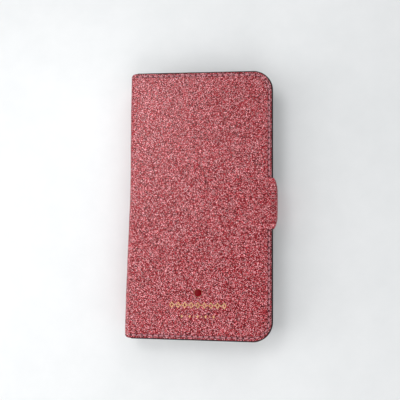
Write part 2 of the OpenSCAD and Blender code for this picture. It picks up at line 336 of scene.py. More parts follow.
# Offsets from a sheet's edge, in mm: fine where the skin rounds off and dips along its seam
FINE_EDGE = [0, 0.1, 0.25, 0.45, 0.7, 1.0, 1.3, 1.55, 1.8, 2.05, 2.3, 2.6, 3.0, 3.6]
STRAP_EDGE = [0, 0.12, 0.3, 0.55, 0.9, 1.3, 1.6, 1.85, 2.1, 2.4, 2.8, 3.4]
COARSE_EDGE = [0, 0.3, 0.8, 1.6, 3.0]
BOARD_EDGE = [0, 0.5, 2.0]
# The even rows start this far in from the edge
FINE_RUN = 4.5


def corner_columns(r, step):
    """Columns across a round corner of radius r, one every step degrees, from the edge in."""
    return r * (1 - np.cos(np.radians(np.arange(0, 90.5, step))))


CORNER_S = corner_columns(OPEN_R, 3)


def cover_columns(step):
    """Columns of a cover from its opening edge to the middle of the spine."""
    flat = np.linspace(OPEN_R, ROLL_S0, round((ROLL_S0 - OPEN_R) / step) + 1)
    roll = np.linspace(ROLL_S0, ROLL_S1, 15)
    spine = np.linspace(ROLL_S1, MID_SPINE, 7)
    return np.r_[CORNER_S, flat[1:], roll[1:], spine[1:]]


# ---- seams ----

def corner_path(a, turn, c, corner, r, ahead=-1):
    """A path (s, y) by the s values a, round a corner of radius r about its middle at the angles
    turn, and on by the y values c, with its outward directions. ahead is the way that s goes."""
    turn = np.r_[np.zeros(len(a)), turn, np.full(len(c), math.pi / 2)]
    s = np.r_[a, np.full(len(turn) - len(a), corner[0])]
    y = np.r_[np.full(len(turn) - len(c), corner[1]), c]
    outward = np.stack([ahead * np.sin(turn), np.cos(turn)], -1)
    return np.stack([s, y], -1) + r * outward, outward


def seam_path(start, end, half_w, r, stop_y):
    """Points (s, y) every 0.05 mm along one half of a seam: at y = half_w from s = start to the
    corner of radius r at s = end, and from there across to y = stop_y."""
    ahead = np.sign(end - start)
    corner = (end - ahead * r, half_w - r)
    a = np.arange(start, corner[0], ahead * 0.05)
    turn = np.arange(0, math.pi / 2, 0.05 / r)
    c = np.arange(corner[1], stop_y, -0.05)
    return corner_path(a, turn, c, corner, r, ahead)[0]


def cover_seam_path(stop_y):
    """A cover's seam from near the spine to y = stop_y on the opening edge."""
    return seam_path(FLAT - 1.0, SEAM_INSET, HALF_L - SEAM_INSET, OPEN_R - SEAM_INSET, stop_y)


def run_length(path):
    """Distance from the path's start at each of its points."""
    return np.r_[0, np.cumsum(np.linalg.norm(np.diff(path, axis=0), axis=1))]


def split_seam(path):
    """Stitch holes along a path of (s, y) points, at even steps near PITCH."""
    step = run_length(path)
    count = max(1, round(step[-1] / PITCH))
    at = np.linspace(0, step[-1], count + 1)
    return np.stack([np.interp(at, step, path[:, 0]), np.interp(at, step, path[:, 1])], -1)


# A thread's ends lie this far from the hole centres, it wanders sideways by JITTER, its plies
# turn by TWIST radians a mm, and the grooves between them are this share of its radius
THREAD_END = 0.5
JITTER = 0.04
TWIST = 3.6
PLY_GROOVE = 0.13


def stitches(name, place, runs, k, material, width=0.6, height=0.3, *, seed):
    """Sewn stitches between the holes of each run: each is a twisted thread that rises out of
    one hole and dips into the next. k is the depth of the surface, negative height inwards."""
    rng = np.random.default_rng(seed)
    sides, steps = 10, 15
    phi = circle(sides)
    up = 1 if height > 0 else -1
    points, faces, sheets = [], [], []
    for holes in runs:
        for a, b in zip(holes[:-1], holes[1:]):
            d = b - a
            length = np.linalg.norm(d)
            d, side = d / length, np.array([-d[1], d[0]]) / length
            a = a + side * rng.normal(0, JITTER) + d * THREAD_END
            b = b + side * rng.normal(0, JITTER) - d * THREAD_END
            t = np.linspace(0, 1, steps)[:, None]
            arch = 1 - (2 * t - 1) ** 6
            lift = abs(height) * arch * (1 + rng.normal(0, 0.06)) - 0.1
            taper = 0.62 + 0.38 * arch
            at = len(points) * steps * sides
            twist = t * length * TWIST + rng.uniform(0, 6.28)
            ply = 1 - PLY_GROOVE * np.abs(np.sin(1.5 * (phi - twist)))
            radius = 0.5 * width * taper * ply
            off = radius * np.cos(phi)
            high = 0.7 * radius * np.sin(phi)
            mid = a + (b - a) * t
            s = mid[:, 0, None] + side[0] * off
            y = mid[:, 1, None] + side[1] * off
            points.append(place(s, y, k - up * (lift + high)).reshape(-1, 3))
            along = np.broadcast_to(t * length, s.shape)
            around = np.broadcast_to(phi * 0.3, s.shape)
            number = np.full(s.shape, rng.uniform(0, 900))
            sheets.append(np.stack([along, around, number], -1).reshape(-1, 3))
            faces += ring_faces(steps, sides, at, flip=True)
            faces += [cap(at, sides), cap(at + (steps - 1) * sides, sides, True)]
    return new_object(name, points, faces, [material], sheets, 60)


def hole_shade_discs(name, holes):
    """Painted shade in the needle holes of a cover's seams: small dark dished discs just above the
    skin.
    """
    radius, k, bottom, sides = 0.55, 0.16, 0.12, 8
    rings = [(1.0, 0.012), (0.8, 0.02), (0.45, -0.06)]  # share of the radius, height
    points, faces = [], []
    phi = circle(sides)
    for s0, y0 in holes:
        at = sum(len(p) for p in points)
        for share, lift in rings:
            r = radius * share
            points.append(wrap(s0 + r * np.cos(phi), y0 + r * np.sin(phi),
                               np.full(sides, k - lift)))
        points.append(wrap(np.array([s0]), np.array([y0]), np.array([k + bottom])))
        faces += ring_faces(len(rings), sides, at)
        last, centre = at + (len(rings) - 1) * sides, at + len(rings) * sides
        faces += [[last + q, last + (q + 1) % sides, centre] for q in range(sides)]
    return new_object(name, points, faces, [HOLE_SHADE])


# ---- materials ----

class Surface:
    """A material, with short calls for adding nodes to its tree."""

    def __init__(self, name, rough, metal=0.0, **sockets):
        self.material = bpy.data.materials.new(name)
        self.material.use_nodes = True
        self.tree = self.material.node_tree
        self.bsdf = self.tree.nodes["Principled BSDF"]
        grey = (0.5, 0.5, 0.5, 1)
        sockets = {"Base_Color": grey, "Roughness": rough, "Metallic": metal, **sockets}
        for key, value in sockets.items():
            self.bsdf.inputs[key.replace("_", " ")].default_value = value

    def finish(self, **sockets):
        """Links outputs to the shader's sockets and gives back the material."""
        for key, value in sockets.items():
            self.tree.links.new(value, self.bsdf.inputs[key.replace("_", " ")])
        return self.material

    def add(self, kind, inputs=(), **settings):
        node = self.tree.nodes.new(kind)
        for key, value in settings.items():
            setattr(node, key, value)
        for key, value in dict(inputs).items():
            if isinstance(value, bpy.types.NodeSocket):
                self.tree.links.new(value, node.inputs[key])
            else:
                node.inputs[key].default_value = value
        return node

    def place(self, cad=False):
        """The material's own coordinates: the sheet attribute, or a CAD node's own space."""
        if cad:
            return self.add("ShaderNodeTexCoord").outputs["Object"]
        return self.add("ShaderNodeAttribute", attribute_name="sheet").outputs["Vector"]

    def math(self, op, a, b):
        return self.add("ShaderNodeMath", {0: a, 1: b}, operation=op).outputs[0]

    def times(self, a, b):
        return self.math("MULTIPLY", a, b)

    def plus(self, a, b):
        return self.math("ADD", a, b)

    def vector(self, op, inputs):
        return self.add("ShaderNodeVectorMath", inputs, operation=op).outputs[0]

    def noise(self, at, scale, detail=3.0, rough=0.55):
        inputs = {"Vector": at, "Scale": scale, "Detail": detail, "Roughness": rough}
        return self.add("ShaderNodeTexNoise", inputs).outputs["Fac"]

    def cells(self, at, scale, feature="F1"):
        return self.add("ShaderNodeTexVoronoi", {"Vector": at, "Scale": scale}, feature=feature)

    def ramp(self, value, stops):
        """stops are (place, colour or grey) pairs."""
        node = self.add("ShaderNodeValToRGB", {"Fac": value})
        elements = node.color_ramp.elements
        while len(elements) < len(stops):
            elements.new(0.5)
        for element, (at, colour) in zip(elements, stops):
            element.position = at
            if not hasattr(colour, "__len__"):
                colour = (colour,) * 3
            element.color = (*colour, 1)
        return node.outputs["Color"]

    def mix(self, share, a, b):
        """Colour a turning into b; each is an output or three numbers."""
        inputs = {6: a, 7: b}
        for key, value in inputs.items():
            if not isinstance(value, bpy.types.NodeSocket):
                inputs[key] = (*value, 1)
        return self.add("ShaderNodeMix", {0: share, **inputs}, data_type="RGBA").outputs[2]

    def bump(self, height, strength, distance):
        inputs = {"Height": height, "Strength": strength, "Distance": distance}
        return self.add("ShaderNodeBump", inputs).outputs["Normal"]


def glitter_material():
    """Chunky glitter: flat flakes of about 0.3 mm, each with its own shade from dark red to pale
    pink, its own gloss and tilt, on a red ground, drawn darker along the free edges and with
    painted shade in the seam's groove and round the needle holes."""
    n = Surface("glitter", 0.4, Specular_IOR_Level=0.27)
    at = n.place()
    flakes = n.cells(at, 3600).outputs["Color"]
    specks = n.cells(at, 5800).outputs["Color"]
    own = n.add("ShaderNodeSeparateColor", {"Color": flakes}).outputs
    small = n.add("ShaderNodeSeparateColor", {"Color": specks}).outputs
    shade = n.plus(n.times(own["Red"], 0.82), n.times(small["Red"], 0.12))
    shade = n.plus(shade, n.times(n.noise(at, 300, 2.0), 0.12))
    colour = n.ramp(shade, [(0.3, (0.05, 0.0, 0.001)), (0.48, (0.15, 0.0, 0.003)),
                            (0.62, (0.36, 0.004, 0.012)), (0.76, (0.7, 0.06, 0.08)),
                            (0.87, (1.0, 0.54, 0.58))])
    # darker red along the free edges, and painted shade in the seam's groove and round the needle
    # holes
    dark_edges_and_shade = n.add("ShaderNodeAttribute", attribute_name="dark_edges_and_shade").outputs["Fac"]
    colour = n.mix(n.times(dark_edges_and_shade, 0.9), colour, (0.055, 0.012, 0.018))
    tilt = n.vector("SUBTRACT", {0: flakes, 1: (0.5, 0.5, 0.5)})
    tilt = n.vector("SCALE", {0: tilt, "Scale": 0.22})
    normal = n.add("ShaderNodeNewGeometry").outputs["Normal"]
    tilted = n.vector("NORMALIZE", {0: n.vector("ADD", {0: normal, 1: tilt})})
    return n.finish(Base_Color=colour, Roughness=n.math("SUBTRACT", 0.42, n.times(shade, 0.25)),
                    Metallic=n.times(own["Blue"], 0.1), Normal=tilted)


def leather_material(name, dark, light, grain=900, rough=0.42):
    """Fine-grained leatherette: pebbled cells, finer creases, uneven gloss."""
    n = Surface(name, rough, Specular_IOR_Level=0.45)
    at = n.place()
    pebble = n.cells(at, grain, "DISTANCE_TO_EDGE").outputs["Distance"]
    fine = n.noise(at, grain * 2.6)
    wide = n.noise(at, 55)
    height = n.plus(n.ramp(pebble, [(0.0, 0.0), (0.35, 1.0)]), n.times(fine, 0.5))
    share = n.plus(n.times(height, 0.35), n.times(wide, 0.55))
    return n.finish(Base_Color=n.mix(share, dark, light),
                    Roughness=n.plus(rough - 0.12, n.times(wide, 0.3)),
                    Normal=n.bump(height, 0.6, 0.00006))


def thread_material(name, dark, mid, light):
    """Bonded polyester thread: fine filaments along the twist, each stitch its own shade."""
    n = Surface(name, 0.5, Sheen_Weight=0.25, Sheen_Roughness=0.4)
    at = n.place()
    number = n.add("ShaderNodeSeparateXYZ", {"Vector": at}).outputs["Z"]
    shade = n.noise(n.add("ShaderNodeCombineXYZ", {"X": number}).outputs[0], 37, 1.0)
    fibre = n.add("ShaderNodeTexWave", {"Vector": at, "Scale": 1500, "Distortion": 2.0},
                  bands_direction="DIAGONAL").outputs["Fac"]
    colour = n.mix(n.times(fibre, 0.45), n.mix(shade, mid, light), dark)
    return n.finish(Base_Color=colour, Roughness=n.plus(0.4, n.times(fibre, 0.25)),
                    Normal=n.bump(fibre, 0.5, 0.00005))


def plain_material(name, dark, light, rough, scale, bump=0.3, depth=0.00004, metal=0.0,
                   cad=False, stretch=(1, 1, 1), **sockets):
    """Painted, moulded or metal surfaces: mottled colour, uneven gloss, fine relief."""
    spread = 0.2
    n = Surface(name, rough, metal, **sockets)
    at = n.add("ShaderNodeMapping", {"Vector": n.place(cad), "Scale": stretch}).outputs[0]
    fine = n.noise(at, scale, 4.0, 0.6)
    wide = n.noise(at, scale / 14)
    share = n.plus(n.times(fine, 0.5), n.times(wide, 0.5))
    return n.finish(Base_Color=n.mix(n.ramp(share, [(0.3, 0.0), (0.7, 1.0)]), dark, light),
                    Roughness=n.plus(rough - spread / 2, n.times(wide, spread)),
                    Normal=n.bump(fine, bump, depth))


GLITTER = glitter_material()
LINING = leather_material("lining", (0.01, 0.008, 0.009), (0.036, 0.027, 0.031))
POCKET = leather_material("pocket_leather", (0.013, 0.01, 0.011), (0.045, 0.034, 0.038), 1100, 0.38)
BACKING = leather_material("skin_backing", (0.05, 0.035, 0.035), (0.1, 0.07, 0.07), 1400, 0.7)
PAINT = plain_material("edge_paint", (0.005, 0.002, 0.003), (0.022, 0.008, 0.011), 0.5, 900,
                       0.5, 0.00008, Specular_IOR_Level=0.12)
THREAD = thread_material("seam_thread", (0.3, 0.05, 0.07), (0.56, 0.17, 0.21), (0.86, 0.42, 0.46))
DARK_THREAD = thread_material("pocket_thread", (0.01, 0.007, 0.008), (0.05, 0.037, 0.042),
                              (0.09, 0.07, 0.077))
# dark colour of painted shade inside the needle holes
HOLE_SHADE = plain_material("needle_hole_shade", (0.008, 0.001, 0.002), (0.04, 0.005, 0.008), 0.8, 1500,
                      Specular_IOR_Level=0.15)
BOARD, BOARD_CAD = [
    plain_material(name, (0.19, 0.165, 0.13), (0.34, 0.3, 0.25), 0.85, 700, 0.6, 0.0001, cad=cad)
    for name, cad in (("board", False), ("board_fibre", True))]
SHELL = plain_material("moulded_shell", (0.01, 0.01, 0.011), (0.021, 0.021, 0.024), 0.5, 3500,
                       0.35, 0.00004, cad=True, Specular_IOR_Level=0.4)
RIM = plain_material("moulded_rim", (0.01, 0.01, 0.011), (0.024, 0.024, 0.027), 0.35, 3500,
                     0.2, 0.00003)
TAPE = plain_material("adhesive", (0.52, 0.52, 0.5), (0.68, 0.68, 0.66), 0.5, 400, cad=True)
STEEL = plain_material("plate_steel", (0.42, 0.42, 0.43), (0.66, 0.66, 0.67), 0.34, 1200, 0.2,
                       metal=1.0, cad=True, stretch=(1, 14, 1))
NICKEL = plain_material("magnet_nickel", (0.5, 0.49, 0.46), (0.72, 0.71, 0.67), 0.2, 900, 0.1,
                        metal=1.0, cad=True)
GOLD = plain_material("gold", (0.48, 0.29, 0.12), (0.86, 0.57, 0.28), 0.38, 1300, 0.3, 0.00003,
                      metal=1.0)
ENAMEL = plain_material("red_enamel", (0.13, 0.0, 0.003), (0.22, 0.001, 0.006), 0.3, 500,
                        0.05, 0.00002, Specular_IOR_Level=0.1, Coat_Weight=0.06, Coat_Roughness=0.08)


# ---- camera ----

CAMERA_AT = (27.81, -24.33, TOP_Z + 277.1)
# Turn from looking straight down: the axis times the angle in degrees
CAMERA_TURN = (5.366, 5.893, 0.488)

turn = Vector(CAMERA_TURN) * math.radians(1)
camera_data = bpy.data.cameras.new("camera")
camera_data.lens = 45
camera_data.sensor_width = 36
camera_data.clip_start = 0.01
camera = in_scene("camera", camera_data)
camera.matrix_world = (Matrix.Translation(Vector(CAMERA_AT) * MM)
                       @ Matrix.Rotation(turn.length, 4, turn.normalized()))
scene.camera = camera


# ---- skins ----

def total_depth(s):
    """Depth of the lining's inner face: board in the covers and the spine, none in the folds."""
    e = from_end(s)
    fold = SKIN_T + LINING_T
    out = fold + (FRONT_T - fold) * (1 - smooth(e, ROLL_S0 - 1.0, ROLL_S0 + 1.2))
    return out + (SPINE_T - fold) * smooth(e, ROLL_S1 - 0.8, ROLL_S1 + 0.8)


def lining_out(s):
    return total_depth(s) - LINING_T


def mirrored(run):
    return run * np.array([1, -1])


def whole(half):
    """A run that ends at y = 0, with its mirror image after it."""
    return np.concatenate([half, mirrored(half)[::-1][1:]])


front_half = split_seam(cover_seam_path(ROOT_HALF_W + 0.8))
back_half = split_seam(cover_seam_path(0.0))
back_half = np.stack([WRAP.length - back_half[:, 0], back_half[:, 1]], -1)
FRONT_RUNS = [front_half, mirrored(front_half)]
BACK_RUNS = [back_half, mirrored(back_half)]


def bell(x, width):
    return np.exp(-((x / width) ** 2))


def near(points, s, y, reach):
    """Sum of round falloffs about points."""
    total = np.zeros(s.shape)
    for ps, py in points:
        close = (np.abs(s - ps) < 3 * reach) & (np.abs(y - py) < 3 * reach)
        total[close] += bell(np.hypot(s[close] - ps, y[close] - py), reach)
    return np.minimum(total, 1)


def round_off(edge, r):
    """How far a surface has dropped near an edge rounded with radius r, as a share of its drop."""
    return 1 - np.sqrt(1 - np.clip(1 - edge / r, 0, 1) ** 2)


def off_root(y, root, before, after=0.0):
    """0 across the strap's root and 1 beside it; 1 everywhere on a cover without the root."""
    return smooth(np.abs(y), ROOT_HALF_W - before, ROOT_HALF_W + after) if root else 1.0


def sewn(s):
    """1 over the covers, where the seam runs, and 0 over the folds and the spine."""
    return smooth(from_end(s), ROLL_S0 - 0.8, ROLL_S0 - 2.0)


def skin_bump(holes, root):
    """How the glitter skin's outer face departs from flat: it rounds off at its edges, is pulled
    down along the seam and at each hole, dips along the fold, and swells a little."""
    root_reach = 12
    lip, groove, hole_dip, fold_dip = 0.3, 0.1, 0.16, 0.14

    def bump(s, y):
        edge = cover_edge(s, y) - EDGE_INSET
        e = from_end(s)
        free = np.where(e < root_reach, off_root(y, root, 0.6), 1.0)
        drop = lip * round_off(edge, 0.55) * free
        drop += groove * bell(edge + EDGE_INSET - SEAM_INSET, 0.55) * sewn(s) * free
        drop += hole_dip * near(holes, s, y, 0.42)
        drop += fold_dip * bell(e - ROLL_S0 + 0.9, 0.8)
        swell = 0.05 * np.sin(s * 0.21 + 0.6) * np.sin(y * 0.13 + 0.4)
        swell += 0.03 * np.sin(s * 0.43 + y * 0.31)
        return swell * smooth(edge, 0, 6) - drop
    return bump


def cover_dark_edges_and_shade(holes, root):
    """Where a cover's skin is drawn darker: along its free edges, and as painted shade in the
    seam's groove and round the needle holes.
    """
    def dark_edges_and_shade(s, y):
        edge = cover_edge(s, y) - EDGE_INSET
        near_opening = smooth(from_end(s), 5.0, 2.0)
        # painted shade in the seam's groove, and a darker strip near the opening edges
        groove = 0.55 * bell(edge + EDGE_INSET - SEAM_INSET, 0.5) * sewn(s)
        groove += 0.3 * near_opening * smooth(edge, 3.0, 2.0)
        edge_dark = 0.1 * smooth(edge, 2.0, 0.8) + 0.55 * smooth(edge, 0.7, 0.0)
        along_edge = np.maximum(edge_dark, groove) * off_root(y, root, 0.6, 0.6)
        # painted shade round the needle holes
        return np.maximum(along_edge, near(holes, s, y, 0.75))
    return dark_edges_and_shade


def wrap_inset(root):
    """The wrap with its end columns pulled in by EDGE_INSET, except at the strap's root."""
    def shifted(s, y, k):
        pull = EDGE_INSET * off_root(y, root, 0.3) * np.clip(1 - from_end(s) / 5.0, 0, 1)
        return wrap(np.where(s < MID_SPINE, s + pull, s - pull), y, k)
    return shifted


SKIN_LAYERS = (GLITTER, BACKING, PAINT)
LINING_LAYERS = (BACKING, LINING, PAINT)
skin_rows = rows_across(FINE_EDGE, 210)
lining_rows = rows_across(COARSE_EDGE, 60)
board_rows = rows_across(BOARD_EDGE, 30)
skin_s = cover_columns(0.62)
lining_s = cover_columns(1.6)
board_s = np.r_[CORNER_S[::2], np.linspace(OPEN_R, ROLL_S0 - 0.4, 30)[1:]]
spine_s = np.linspace(ROLL_S1 + 0.4, WRAP.length - ROLL_S1 - 0.4, 12)
front_holes, back_holes = np.concatenate(FRONT_RUNS), np.concatenate(BACK_RUNS)
front_bump = skin_bump(front_holes, True)

skin_front, skin_back = [
    sheet_piece(f"glitter_skin_{side}", wrap_inset(root), s, cover_half_l, skin_rows, 0.0, SKIN_T,
                SKIN_LAYERS, skin_bump(holes, root), 0.05, EDGE_INSET, not root,
                cover_dark_edges_and_shade(holes, root))
    for side, s, holes, root in (("front", skin_s, front_holes, True),
                                 ("back", WRAP.length - skin_s, back_holes, False))]


def cover_pair(name, s, rows, k_out, k_in, layers, rim, inset):
    """The same sheet for the front cover and, mirrored, for the back cover."""
    return [sheet_piece(f"{name}_{side}", wrap_inset(False), columns, cover_half_l, rows, k_out,
                        k_in, layers, None, rim, inset, side == "back")
            for side, columns in (("front", s), ("back", WRAP.length - s))]


lining_front, lining_back = cover_pair("lining", lining_s, lining_rows, lining_out, total_depth,
                                       LINING_LAYERS, 0.05, EDGE_INSET)
board_front, board_back = cover_pair("cover_board", board_s, board_rows, SKIN_T, lining_out,
                                     (BOARD,) * 3, 0.0, EDGE_INSET + 0.1)
board_spine = sheet_piece("spine_stiffener", wrap, spine_s, cover_half_l, board_rows, SKIN_T,
                          lining_out, (BOARD,) * 3, None, 0.0, 1.2)


# ---- painted edges of the covers ----

def paint_band(name, back, root, seed):
    """The rounded coat of paint over a cover's raw edge, uneven as it is when brushed on."""
    rng = np.random.default_rng(seed)
    corner = (OPEN_R, HALF_L - OPEN_R)
    a = np.linspace(ROLL_S0 - 1.2, OPEN_R, 90)
    turn = np.radians(np.linspace(0, 90, 36))[1:]
    c = np.linspace(corner[1], 0.0, 90)[1:]
    path, outward = [whole(half) for half in corner_path(a, turn, c, corner, OPEN_R)]
    # distance in from the edge and depth, drawn for a cover 2.4 mm thick
    section = [(0.84, 0.06), (0.66, 0.0), (0.36, 0.05), (0.13, 0.28), (0.02, 0.7), (0.0, 1.2),
               (0.03, 1.75), (0.14, 2.15), (0.32, 2.36), (0.52, 2.42), (0.66, 2.38),
               (0.75, 1.2)]
    n, k = np.array(section).T
    k = k * FRONT_T / 2.4
    step = run_length(path)
    knots = np.arange(0, step[-1] + 4, 2.3)
    wander = np.interp(step, knots, rng.normal(0, 0.035, len(knots)))
    wander = np.convolve(np.pad(wander, 3, mode="edge"), np.ones(7) / 7, mode="valid")
    # under the strap's root the band starts below the skin
    under = (1 - off_root(path[:, 1], root, 1.0, 0.3)) * (path[:, 0] < 1)
    top_k = np.maximum(k, under[:, None] * (SKIN_T + 0.05))
    loose = np.where(k / FRONT_T < 0.5, 1.0, 0.4) * (n > 0.25)
    inset = n + wander[:, None] * loose
    s = path[:, 0, None] - outward[:, 0, None] * inset
    y = path[:, 1, None] - outward[:, 1, None] * inset
    points = wrap(WRAP.length - s if back else s, y, top_k)
    rows, cols = s.shape
    faces = ring_faces(rows, cols, flip=back)
    faces += [cap(0, cols, not back), cap((rows - 1) * cols, cols, back)]
    return new_object(name, [points.reshape(-1, 3)], faces, [PAINT], crease=60)


edge_front = paint_band("painted_edge_front", False, True, 11)
edge_back = paint_band("painted_edge_back", True, False, 12)


# ---- seam threads of the covers ----

THREAD_K = 0.06
thread_front = stitches("seam_thread_front", wrap, FRONT_RUNS, THREAD_K, THREAD, seed=21)
thread_back = stitches("seam_thread_back", wrap, BACK_RUNS, THREAD_K, THREAD, seed=22)
# dark discs of painted shade in the needle holes
shade_discs_front = hole_shade_discs("needle_hole_shade_front", front_holes)
shade_discs_back = hole_shade_discs("needle_hole_shade_back", back_holes)


# ---- pockets ----

POCKET_R = 1.5
pocket_rows = rows_across(COARSE_EDGE, 40)


def pocket(node, full):
    """One pocket sheet inside the front cover, a little slack at its mouth. A full one runs out
    to the cover's edges; the others lie inside them."""
    low, high = box(node)
    mouth_s = EDGE_X - low[0]
    depth_out, depth_in = TOP_Z - high[2], TOP_Z - low[2] - 0.06
    start = EDGE_X - high[0]
    corner = CORNER_S if full else start + corner_columns(POCKET_R, 15)
    s = np.r_[corner, np.linspace(corner[-1], mouth_s, 60)[1:]]

    def half(q):
        return high[1] - corner_loss(q - start, POCKET_R)

    def inner(q):
        slack = 0.1 * smooth(q, mouth_s - 6, mouth_s) - 0.14 * smooth(q, mouth_s - 0.5, mouth_s)
        return depth_in + slack * 0.5

    place, half_w, inset = (wrap_inset(False), cover_half_l, EDGE_INSET) if full else (wrap, half, 0)
    return sheet_piece(node.replace("pocket", "pocket_sheet"), place, s, half_w, pocket_rows,
                       depth_out, inner, (BACKING, POCKET, POCKET), None, 0.06, inset)


def pocket_runs():
    """Holes of the seam round three sides of the card pockets."""
    low, high = box("card_pocket_3")
    inset = 1.6
    y = high[1] - inset
    s0, s1 = EDGE_X - high[0] + inset, EDGE_X - low[0] - 1.0
    path = np.array([[s1, y], [s0, y], [s0, -y], [s1, -y]])
    return [split_seam(path[i:i + 2]) for i in range(3)]


cash = pocket("cash_pocket", True)
cards = [pocket(f"card_pocket_{i}", False) for i in (1, 2, 3)]
pocket_k = TOP_Z - box("card_pocket_3")[0][2]
thread_pocket = stitches("pocket_stitching", wrap, pocket_runs(), pocket_k - 0.1, DARK_THREAD,
                         0.5, -0.22, seed=23)


# ---- strap ----

def strap_depth(s):
    """Depth of the strap's inner face: two layers on its side run, three in its end."""
    return STRAP_SIDE_T + (STRAP_T - STRAP_SIDE_T) * smooth(s, STRAP.s[3] + 0.6, STRAP.s[3] + 1.8)


def strap_lining_out(s):
    return strap_depth(s) - LINING_T


strap_holes = split_seam(seam_path(STRAP.s[1] + 1.5, STRAP.length - SEAM_INSET,
                                   STRAP_HALF_W - SEAM_INSET, TIP_R - SEAM_INSET, 0.0))
all_strap_holes = whole(strap_holes)


def strap_bump(s, y):
    """How the strap's outer face departs from flat, like a cover's."""
    lip, groove, hole_dip = 0.22, 0.09, 0.13
    edge = edge_distance(STRAP.length - s, y, TIP_R, STRAP_HALF_W, strap_half_w(s))
    drop = lip * round_off(edge, 0.5) * smooth(s, 0, 1)
    along_seam = smooth(s, STRAP.s[1], STRAP.s[1] + 2)
    drop += groove * bell(edge - SEAM_INSET, 0.5) * along_seam
    drop += hole_dip * near(all_strap_holes, s, y, 0.4)
    swell = 0.05 * np.sin(s * 0.21 - 0.6) * np.sin(y * 0.13 + 0.4)
    return swell * smooth(s, 2, 8) - drop


strap_rows = rows_across(STRAP_EDGE, 18)
tip_s = STRAP.length - corner_columns(TIP_R, 6)[::-1]
upper_s = np.r_[np.linspace(0, STRAP.s[1], 19), np.linspace(STRAP.s[1], MID_SIDE, 14)[1:]]
lower_s = np.r_[np.linspace(MID_SIDE, STRAP.s[2], 14),
                np.linspace(STRAP.s[2], STRAP.s[3], 15)[1:],
                np.linspace(STRAP.s[3], tip_s[0], 36)[1:], tip_s[1:]]


def strap_sheet(name, s, k_out, k_in, materials, bump=None):
    return sheet_piece(name, strap, s, strap_half_w, strap_rows, k_out, k_in, materials, bump,
                       0.08, flip=True)


strap_skin_upper = strap_sheet("strap_skin_upper", upper_s, 0.0, SKIN_T, SKIN_LAYERS, strap_bump)
strap_skin_lower = strap_sheet("strap_skin_lower", lower_s, 0.0, SKIN_T, SKIN_LAYERS, strap_bump)
strap_lining_upper = strap_sheet("strap_lining_upper", upper_s[upper_s >= 1.6],
                                 strap_lining_out, strap_depth, LINING_LAYERS)
strap_lining_lower = strap_sheet("strap_lining_lower", lower_s, strap_lining_out, strap_depth,
                                 LINING_LAYERS)

side_holes = strap_holes[strap_holes[:, 0] < STRAP.s[2] + 0.6]
end_holes = strap_holes[strap_holes[:, 0] > STRAP.s[3] + 0.5]
thread_strap = stitches("seam_thread_strap_side", strap, [side_holes, mirrored(side_holes)],
                        THREAD_K, THREAD, seed=24)
thread_strap_end = stitches("seam_thread_strap_end", strap, [whole(end_holes)],
                            STRAP_T - 0.05, THREAD, height=-0.2, seed=25)


# ---- stud and foil ornament ----

rim_low, rim_high = box("stud_rim")
enamel_low, enamel_high = box("stud_enamel")
stud_at = (rim_low[:2] + rim_high[:2]) / 2
stud_r = (rim_high[0] - rim_low[0]) / 2
enamel_r = (enamel_high[0] - enamel_low[0]) / 2
stud_top = enamel_high[2] - TOP_Z


def lathe(name, outline, mat):
    """A solid turned about the stud's axis, from (radius, height above the skin) pairs."""
    sides = 48
    phi = circle(sides)
    points = [np.stack([stud_at[0] + r * np.cos(phi), stud_at[1] + r * np.sin(phi),
                        np.full(sides, TOP_Z + h)], -1) for r, h in outline]
    faces = ring_faces(len(outline), sides)
    faces += [cap(0, sides, True), cap((len(outline) - 1) * sides, sides)]
    return new_object(name, points, faces, [mat], crease=40)


rim_piece = lathe("stud_bezel", [
    (stud_r - 0.05, -0.3), (stud_r, 0.05), (stud_r - 0.02, 0.22), (stud_r - 0.09, 0.3),
    (stud_r - 0.2, 0.3), (enamel_r, 0.27), (enamel_r, 0.1)], GOLD)
dome_r, dome_h = stud_r - 0.12, stud_top - 0.3
dome = [(dome_r * math.cos(a), 0.3 + dome_h * math.sin(a))
        for a in np.radians(np.arange(0, 90, 9))]
enamel_piece = lathe("stud_dome", [(enamel_r - 0.02, 0.12), (dome_r, 0.26)] + dome
                     + [(0.05, stud_top)], ENAMEL)


def scaled(ring, share):
    """An outline scaled about its own middle."""
    return ring * share + ring.mean(0) * (1 - share)


def foil(name, shapes):
    """Thin gold foil shapes pressed on the front skin: each is a closed outline of (x, y) points,
    or an outer and an inner outline of equal length for a frame."""
    foot, shoulder, top = -0.05, 0.0245, 0.035
    points, faces, at = [], [], 0
    for outer, inner in shapes:
        n = len(outer)
        rings = [(outer, foot), (outer, shoulder), (scaled(outer, 0.94), top)]
        if inner is not None:
            rings += [(scaled(inner, 1.04), top), (inner, shoulder), (inner, foot)]
        for ring, z in rings:
            lift = front_bump(EDGE_X - ring[:, 0], ring[:, 1])
            points.append(np.column_stack([ring, TOP_Z + lift + z]))
        faces += ring_faces(len(rings), n, at)
        if inner is None:
            faces.append(cap(at + (len(rings) - 1) * n, n))
        at += len(rings) * n
    return new_object(name, points, faces, [GOLD], crease=30)


def lozenge(cx, cy, w, h):
    return np.array([[cx + w / 2, cy], [cx, cy + h / 2], [cx - w / 2, cy], [cx, cy - h / 2]])


def dot(cx, cy, d):
    a = circle(12)
    return np.stack([cx + d / 2 * np.cos(a), cy + d / 2 * np.sin(a)], -1)


# Frames with dots between them, and below them a closer row of large and small lozenges
upper_y, upper_step = -HALF_L + 19.1, 3.62
lower_y, lower_step = -HALF_L + 13.0, 2.2
upper_row, lower_row = [], []
for i in range(9):
    x = stud_at[0] + (i - 4) * upper_step
    upper_row.append((lozenge(x, upper_y, 2.6, 3.6), lozenge(x, upper_y, 1.5, 2.1)))
    if i < 8:
        upper_row.append((dot(x + upper_step / 2, upper_y, 0.7), None))
    w, h = (0.7, 0.7) if i % 2 else (1.3, 1.7)
    lower_row.append((lozenge(stud_at[0] + (i - 4) * lower_step, lower_y, w, h), None))
foil_upper = foil("foil_band_upper", upper_row)
foil_lower = foil("foil_band_lower", lower_row)


# ---- shell and hidden parts ----

